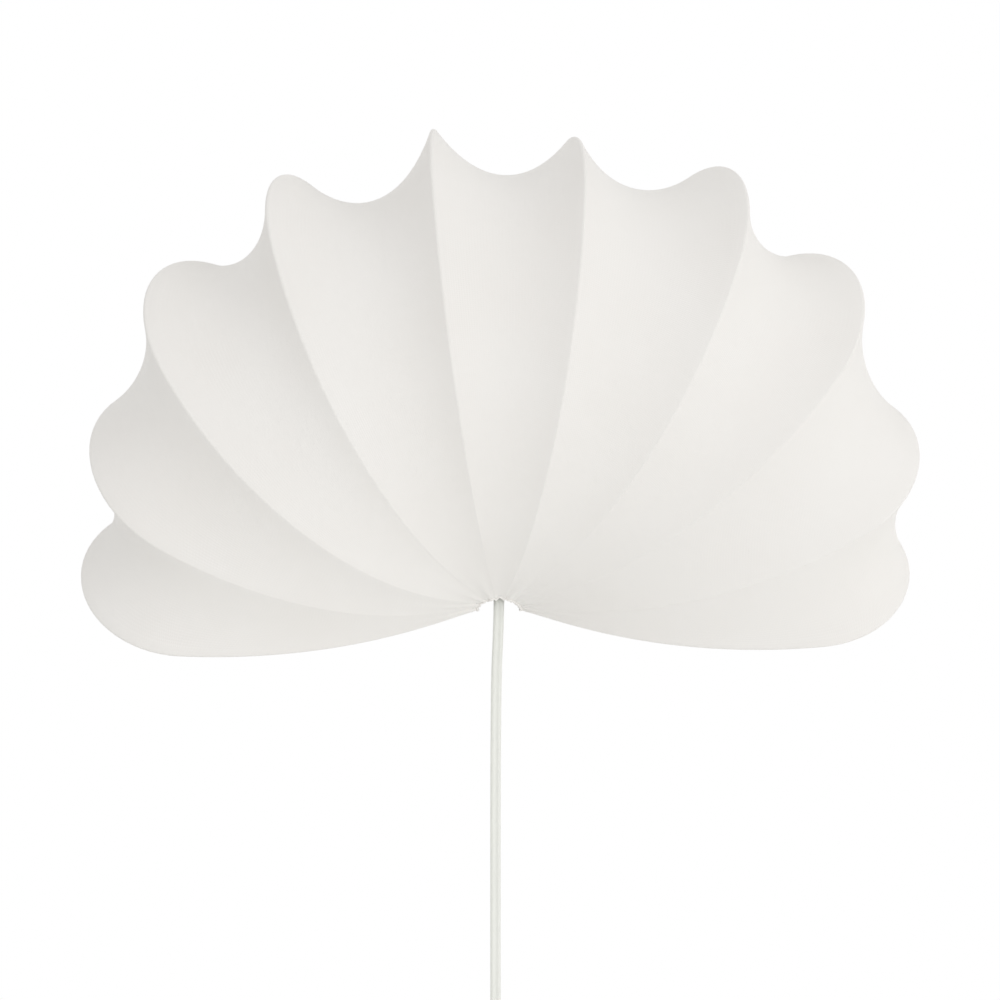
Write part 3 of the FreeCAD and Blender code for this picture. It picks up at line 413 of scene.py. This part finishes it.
# Knitted jersey: soft, matt, with fine upright ribs. Real wales are 0.6 mm apart; they are drawn
# 1.4 mm apart, so that they still show as a faint grain from a step away.
WALE = 1.4 * MM
COURSE = 0.75 * WALE
# A wave texture of scale 1 repeats about this often in a metre.
WAVE_REPEATS = 3.2
# The cloth's colour drifts in soft patches, this many to the metre.
TONE_PATCHES = 14.0
jersey = bpy.data.materials.new("white knitted jersey")
jersey.use_nodes = True
tree = jersey.node_tree
shader = tree.nodes["Principled BSDF"]
cloth_uv = add(tree, "UVMap", {"uv_map": "UVMap"}).outputs["UV"]
rib_scale, row_scale = 1 / WALE / WAVE_REPEATS, 1 / COURSE / WAVE_REPEATS
wales = add(tree, "TexWave", {"bands_direction": "X"}, Vector=cloth_uv, Scale=rib_scale, Distortion=0.6)
courses = add(tree, "TexWave", {"bands_direction": "Y"}, Vector=cloth_uv, Scale=row_scale, Distortion=0.8)
knit = add(tree, "Math", {"operation": "MULTIPLY"}, n0=wales.outputs["Fac"], n1=courses.outputs["Fac"])
object_place = add(tree, "TexCoord").outputs["Object"]
drift = add(tree, "TexNoise", Vector=object_place, Scale=TONE_PATCHES, Detail=2.0)
tone = add(tree, "Mix", {"data_type": "RGBA"}, Factor=drift.outputs["Fac"])
tone.inputs["A"].default_value = linear("#F1EEEA")
tone.inputs["B"].default_value = linear("#F5F3F0")
tree.links.new(tone.outputs["Result"], shader.inputs["Base Color"])
thread = add(tree, "Bump", Height=knit.outputs["Value"], Strength=0.25, Distance=0.12 * MM)
tree.links.new(thread.outputs["Normal"], shader.inputs["Normal"])
shader.inputs["Roughness"].default_value = 0.9
shader.inputs["Specular IOR Level"].default_value = 0.25
shader.inputs["Sheen Weight"].default_value = 0.25
shader.inputs["Sheen Roughness"].default_value = 0.6
cover.data.materials.append(jersey)
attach(cover, "root")
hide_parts(*[f"cover_panel_{n}" for n in range(1, 10)], "cover_end_left", "cover_end_right")


def sweep(name, line, profile, up):
    """A closed section carried along a line: point = line + sideways * x + raised * y.

    The section stays square to the line and keeps its own up as near the given one as it can.
    Both ends are capped.
    """
    run = np.gradient(line, axis=0)
    run /= np.linalg.norm(run, axis=1)[:, None]
    across = np.cross(run, up)
    across /= np.linalg.norm(across, axis=1)[:, None]
    raised = np.cross(across, run)
    sideways, upwards = profile[None, :, :1] * across[:, None], profile[None, :, 1:] * raised[:, None]
    piece = grid_mesh(name, line[:, None] + sideways + upwards, closed=True)
    build = bmesh.new()
    build.from_mesh(piece.data)
    build.verts.ensure_lookup_table()
    for end in (build.verts[:len(profile)], build.verts[-len(profile):]):
        build.faces.new(end)
    bmesh.ops.recalc_face_normals(build, faces=build.faces)
    build.to_mesh(piece.data)
    build.free()
    return piece


HEM_RADIUS = 0.8 * MM
HEM_SIDES = 12
FORWARDS = np.array([0, -1.0, 0])
turn = np.linspace(0, 2 * math.pi, HEM_SIDES, endpoint=False)
round_section = np.stack([np.cos(turn), np.sin(turn)], axis=1) * HEM_RADIUS
nose_hem = sweep("nose_hem", grid[0], round_section, -FAN_AXIS)
back_hem = sweep("back_hem", grid[-1, ACROSS - 1:-(ACROSS - 1)], round_section, FORWARDS)
for hem in (nose_hem, back_hem):
    hem.data.materials.append(jersey)
    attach(hem, "root")

# --- Lampholder and bulb ------------------------------------------------------------------
# A glazed contact block in a moulded E26 holder, on a threaded nipple through the bracket.
# The bulb is an LED one: nickel-plated cap, moulded heat sink, opal globe.

# Moulded thermoset: smooth, glossy, faintly mottled.
holder_plastic = finish("moulded white plastic", "#DEDDD8", "#E5E4E0", 1.0 * MM, 0.01 * MM, 0.3)
dress(holder_plastic, "holder_cap", "holder_shell")
# Glazed steatite: warm white with a glassy coat.
steatite = finish("glazed steatite", "#DCD6CB", "#E4DFD6", 1.5 * MM, 0.01 * MM, 0.2)
dress(steatite, "contact_block")
# Nickel-plated brass: pale yellowish metal, rolled smooth.
nickel = finish("nickel plated brass", "#C9C5B8", "#D6D2C6", 0.5 * MM, 0.01 * MM, 0.24, 1.0)
dress(nickel, "screw_shell", "bulb_cap", "plug_blades")
# Stamped brass: yellow metal, a little dull.
brass = finish("stamped brass", "#C9A45C", "#D6B572", 0.5 * MM, 0.01 * MM, 0.3, 1.0)
dress(brass, "centre_contact", "terminal_screws", "bulb_contact", "switch_contacts")
# Fused glass: near black and glossy.
vitrite = finish("black fused glass", "#141418", "#1C1C22", 1.0 * MM, 0.01 * MM, 0.12)
dress(vitrite, "bulb_insulator")
# Cast resin round the driver: dark and satin.
resin = finish("cast resin", "#2C2C30", "#36363A", 2.0 * MM, 0.03 * MM, 0.5)
dress(resin, "bulb_driver")
# Moulded polycarbonate over aluminium: cool matt white.
heat_sink = finish("moulded polycarbonate", "#E2E3E2", "#E9EAE9", 0.8 * MM, 0.02 * MM, 0.48)
dress(heat_sink, "bulb_housing", "led_board")
# Opal globe: milky, softly matt outside.
opal = finish("opal polycarbonate", "#EFEEEA", "#F4F3F0", 3.0 * MM, 0.01 * MM, 0.4)
dress(opal, "bulb_globe")

# --- Cord ---------------------------------------------------------------------------------
# A flat twin lead, two 3.45 mm conductors side by side under one white PVC skin with a groove
# between them. It hangs from the strain relief, runs through the switch, and ends in the plug.

CORD_WIDTH = 6.9 * MM
# Points that steer the route, in mm: down from the strain relief, out of the switch, then the
# coil, which winds in on one layer and out on the next, half a turn from radius to radius.
DROP = [(0, -35.763, -25.344), (0, -31.605, -44.907), (-2, -30, -86), (-2, -30, -304)]
LINK = [(-2, -30, -346), (-2, -30, -378)]
COIL_CENTRE = (-2, -30, -448.71)
COIL_RADII = [50, 46.15, 42.3, 38.45, 34.6, 30.75, 26.9, 23.7, 31.2, 35.05, 38.9, 42.75, 46.6]
LAYERS_Y = [-30] * 7 + [-22.2] * 6
COIL_START = math.pi / 4
POINTS_PER_HALF = 7
# A spline cuts inside its control points; this puts its turns back on their radius.
TURN_SWELL = 1.025
half = np.arange(0, len(COIL_RADII) - 1, 1 / POINTS_PER_HALF)[1:]
coil_turn = COIL_START - half * math.pi
coil_radius = np.interp(half, np.arange(len(COIL_RADII)), COIL_RADII) * TURN_SWELL
coil_points = np.stack(
    [
        COIL_CENTRE[0] + coil_radius * np.cos(coil_turn),
        np.interp(half, np.arange(len(COIL_RADII)), LAYERS_Y),
        COIL_CENTRE[2] + coil_radius * np.sin(coil_turn),
    ],
    axis=1,
)
TAIL = [(54.383, -22.2, -472.33), (54.383, -22.2, -492.23)]
route_points = np.concatenate([DROP, LINK, coil_points, TAIL]) * MM
route = bpy.data.curves.new("cord_route", "CURVE")
route.dimensions = "3D"
route.resolution_u = 8
spline = route.splines.new("NURBS")
spline.points.add(len(route_points) - 1)
spline.points.foreach_set("co", np.c_[route_points, np.ones(len(route_points))].ravel())
spline.order_u = 3
spline.use_endpoint_u = True
route_object = bpy.data.objects.new("cord_route", route)
route_mesh = bpy.data.meshes.new_from_object(route_object)
cord_line = np.zeros(len(route_mesh.vertices) * 3)
route_mesh.vertices.foreach_get("co", cord_line)
cord_line = cord_line.reshape(-1, 3)
SAME_PLACE = 0.001 * MM
steps = np.linalg.norm(np.diff(cord_line, axis=0), axis=1)
cord_line = cord_line[np.concatenate([[True], steps > SAME_PLACE])]
bpy.data.objects.remove(route_object)
bpy.data.meshes.remove(route_mesh)
# Two round conductors side by side: the height at x is that of the nearer circle, and the groove
# between them is filled up to GROOVE_RISE of that circle's radius.
core = CORD_WIDTH / 4
TWIN_POINTS = 19
GROOVE_RISE = 0.8
twin_x = 2 * core * np.sin(np.linspace(-1, 1, TWIN_POINTS) * math.pi / 2)
rise = np.sqrt(np.maximum(core ** 2 - (np.abs(twin_x) - core) ** 2, 0))
rise = np.where(np.abs(twin_x) < core / 2, np.maximum(rise, GROOVE_RISE * core), rise)
upper = np.stack([twin_x, rise], axis=1)
twin_section = np.concatenate([upper[::-1], upper[1:-1] * [1, -1]])
cord = sweep("cord", cord_line, twin_section, FORWARDS)

# Soft PVC: a faint waxy sheen and almost no grain.
cord_skin = finish("extruded white PVC", "#EBECE6", "#F1F2EC", 1.5 * MM, 0.01 * MM, 0.36)
cord.data.materials.append(cord_skin)
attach(cord, "root")
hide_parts("cord_drop", "cord_link", "cord_coil", "cord_tail")
dress(cord_skin, "plug_body", "strain_relief", "lead_wires")

# --- In-line switch, tie and plug ---------------------------------------------------------
# Two moulded halves with a rocker between them, a nylon tie round the coil, a moulded plug.

# Moulded ABS: slightly warm white, satin.
switch_plastic = finish("moulded ABS", "#E4E3DD", "#EAE9E4", 0.8 * MM, 0.02 * MM, 0.36)
dress(switch_plastic, "switch_base", "switch_cover")
# The rocker is a shade greyer and glossier, polished by fingers.
rocker_plastic = finish("moulded rocker ABS", "#D8D7D1", "#DEDDD8", 0.8 * MM, 0.01 * MM, 0.28)
dress(rocker_plastic, "switch_rocker")
# Moulded nylon: waxy and duller than the cord it holds.
nylon = finish("moulded nylon", "#E0E0DA", "#E8E8E2", 0.8 * MM, 0.02 * MM, 0.44)
dress(nylon, "cord_tie")

# --- Wall, floor, light and camera --------------------------------------------------------
# A wall and a floor that the camera sees as white paper, even light from all round, a large
# soft key light from the right and another from below on the right, and a level camera.


def backdrop(name, corners, colour):
    """A flat stage piece: white paper to the camera, a pale matt wall to the light.

    From behind, the camera looks through it.
    """
    data = bpy.data.meshes.new(name)
    data.from_pydata(corners, [], [(0, 1, 2, 3)])
    piece = bpy.data.objects.new(name, data)
    bpy.context.scene.collection.objects.link(piece)
    paper = bpy.data.materials.new(name)
    paper.use_nodes = True
    tree = paper.node_tree
    tree.nodes.clear()
    matt = add(tree, "BsdfDiffuse", Color=linear(colour))
    white = add(tree, "Emission", Color=(1, 1, 1, 1), Strength=1.0)
    ray = add(tree, "LightPath").outputs
    either, both = {"operation": "MAXIMUM"}, {"operation": "MULTIPLY"}
    seen = add(tree, "Math", either, n0=ray["Is Camera Ray"], n1=ray["Is Glossy Ray"]).outputs["Value"]
    seen = add(tree, "Math", either, n0=seen, n1=ray["Is Transmission Ray"]).outputs["Value"]
    shown = add(tree, "MixShader", n0=seen, n1=matt.outputs["BSDF"], n2=white.outputs["Emission"])
    back = add(tree, "NewGeometry").outputs["Backfacing"]
    behind = add(tree, "Math", both, n0=back, n1=ray["Is Camera Ray"]).outputs["Value"]
    clear = add(tree, "BsdfTransparent").outputs["BSDF"]
    shown = add(tree, "MixShader", n0=behind, n1=shown.outputs["Shader"], n2=clear)
    add(tree, "OutputMaterial", Surface=shown.outputs["Shader"])
    piece.data.materials.append(paper)


LEFT, RIGHT = -4, 4
FRONT, BACK = -6, 0.001
GROUND, TOP = -1.5, 3
wall_corners = [(LEFT, BACK, GROUND), (RIGHT, BACK, GROUND), (RIGHT, BACK, TOP), (LEFT, BACK, TOP)]
backdrop("wall", wall_corners, "#FAFAF9")
floor_corners = [(LEFT, FRONT, GROUND), (RIGHT, FRONT, GROUND), (RIGHT, BACK, GROUND), (LEFT, BACK, GROUND)]
backdrop("floor", floor_corners, "#E4E4E2")

# Even light from all round; to the camera itself the sky is plain white.
WORLD_LIGHT = 0.78
world = bpy.data.worlds.new("studio")
bpy.context.scene.world = world
world.use_nodes = True
sky = world.node_tree.nodes["Background"]
sky.inputs["Color"].default_value = (1, 1, 1, 1)
seen = add(world.node_tree, "LightPath").outputs["Is Camera Ray"]
level = add(world.node_tree, "MapRange", Value=seen, To_Min=WORLD_LIGHT, To_Max=1.0)
world.node_tree.links.new(level.outputs["Result"], sky.inputs["Strength"])


LIGHT_SIZE = 2.0
LIGHT_AIM = (0, 0, 0.1)


def area_light(name, place, power):
    """A square soft box that faces the shell."""
    lamp = bpy.data.lights.new(name, "AREA")
    lamp.shape = "SQUARE"
    lamp.size = LIGHT_SIZE
    lamp.energy = power
    holder = bpy.data.objects.new(name, lamp)
    holder.location = place
    holder.rotation_euler = (Vector(LIGHT_AIM) - Vector(place)).to_track_quat("-Z", "Y").to_euler()
    bpy.context.scene.collection.objects.link(holder)


area_light("key", (1.8, -2.4, 0.4), 12)
area_light("front", (0.9, -2.6, -1.3), 18)

bpy.context.scene.view_settings.view_transform = "Standard"
# The view takes in HALF_VIEW to each side of its middle at the wall, then is shifted so that the
# shell stands in the picture as it does in the photo.
VIEW_DISTANCE = 1.8
HALF_VIEW = 0.33135
camera = bpy.data.cameras.new("camera")
camera.sensor_fit = "HORIZONTAL"
camera.angle = 2 * math.atan(HALF_VIEW / VIEW_DISTANCE)
camera.shift_x = 0.140
camera.shift_y = -0.110
camera_object = bpy.data.objects.new("camera", camera)
camera_object.location = (-0.0903, -VIEW_DISTANCE, 0.1088)
camera_object.rotation_euler = (math.pi / 2, 0, 0)
bpy.context.scene.collection.objects.link(camera_object)
bpy.context.scene.camera = camera_object
